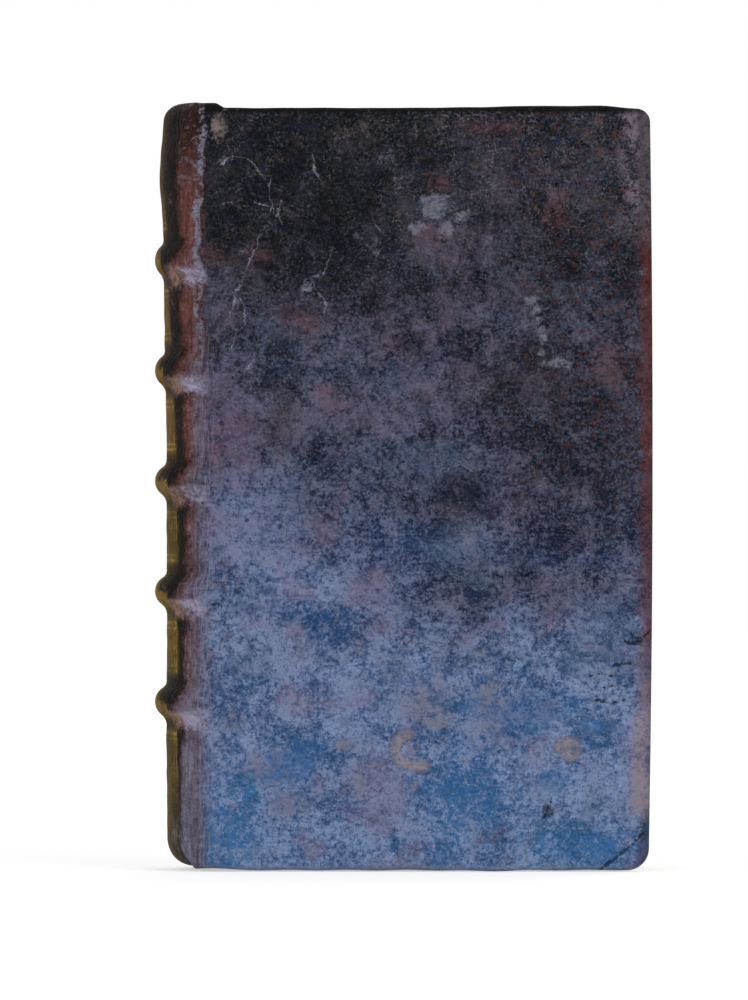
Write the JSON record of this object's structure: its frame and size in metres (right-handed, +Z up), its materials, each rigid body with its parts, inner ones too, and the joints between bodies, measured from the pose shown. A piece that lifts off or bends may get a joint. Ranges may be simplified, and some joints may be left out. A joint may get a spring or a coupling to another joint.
{
  "type": "antique leather book",
  "caption": "Small old book in full calf with a rounded spine on raised bands, standing on its tail edges, with both covers hinged at the joints.",
  "frame": {"origin": "middle of the foot of the closed book's bounding box, on the surface that the book stands on", "axes": "+Z up to the head, +X from the spine to the fore edge, -Y out of the front cover"},
  "size_m": [0.1102, 0.035, 0.17],
  "materials": {
    "calf": "worn, crackled calf",
    "leaves": "plain cut edges, aged",
    "endpaper": "plain aged laid paper",
    "parchment": "matte parchment",
    "cord": "twisted hemp",
    "silk": "faded silk thread",
    "pasteboard": "grey-brown pasteboard"
  },
  "bodies": {
    "book_block": {"text_block": "leaves", "front_free_endpaper": "endpaper", "back_free_endpaper": "endpaper", "sewing_cord_1": "cord", "sewing_cord_2": "cord", "sewing_cord_3": "cord", "sewing_cord_4": "cord", "sewing_cord_5": "cord", "spine_lining": "parchment", "head_endband_core": "cord", "head_endband_silk": "silk", "tail_endband_core": "cord", "tail_endband_silk": "silk", "spine_leather": "calf"},
    "front_cover": {"front_board": "pasteboard", "front_cover_leather": "calf", "front_cord_slips": "cord", "front_pastedown": "endpaper"},
    "back_cover": {"back_board": "pasteboard", "back_cover_leather": "calf", "back_cord_slips": "cord", "back_pastedown": "endpaper"}
  },
  "joints": [
    {"name": "front_joint", "type": "hinge", "parent": "book_block", "child": "front_cover", "pos_m": [-0.04378, -0.0179, 0], "axis": [0, 0, -1], "range_deg": [0, 170]},
    {"name": "back_joint", "type": "hinge", "parent": "book_block", "child": "back_cover", "pos_m": [-0.04378, 0.0179, 0], "axis": [0, 0, 1], "range_deg": [0, 170]}
  ]
}
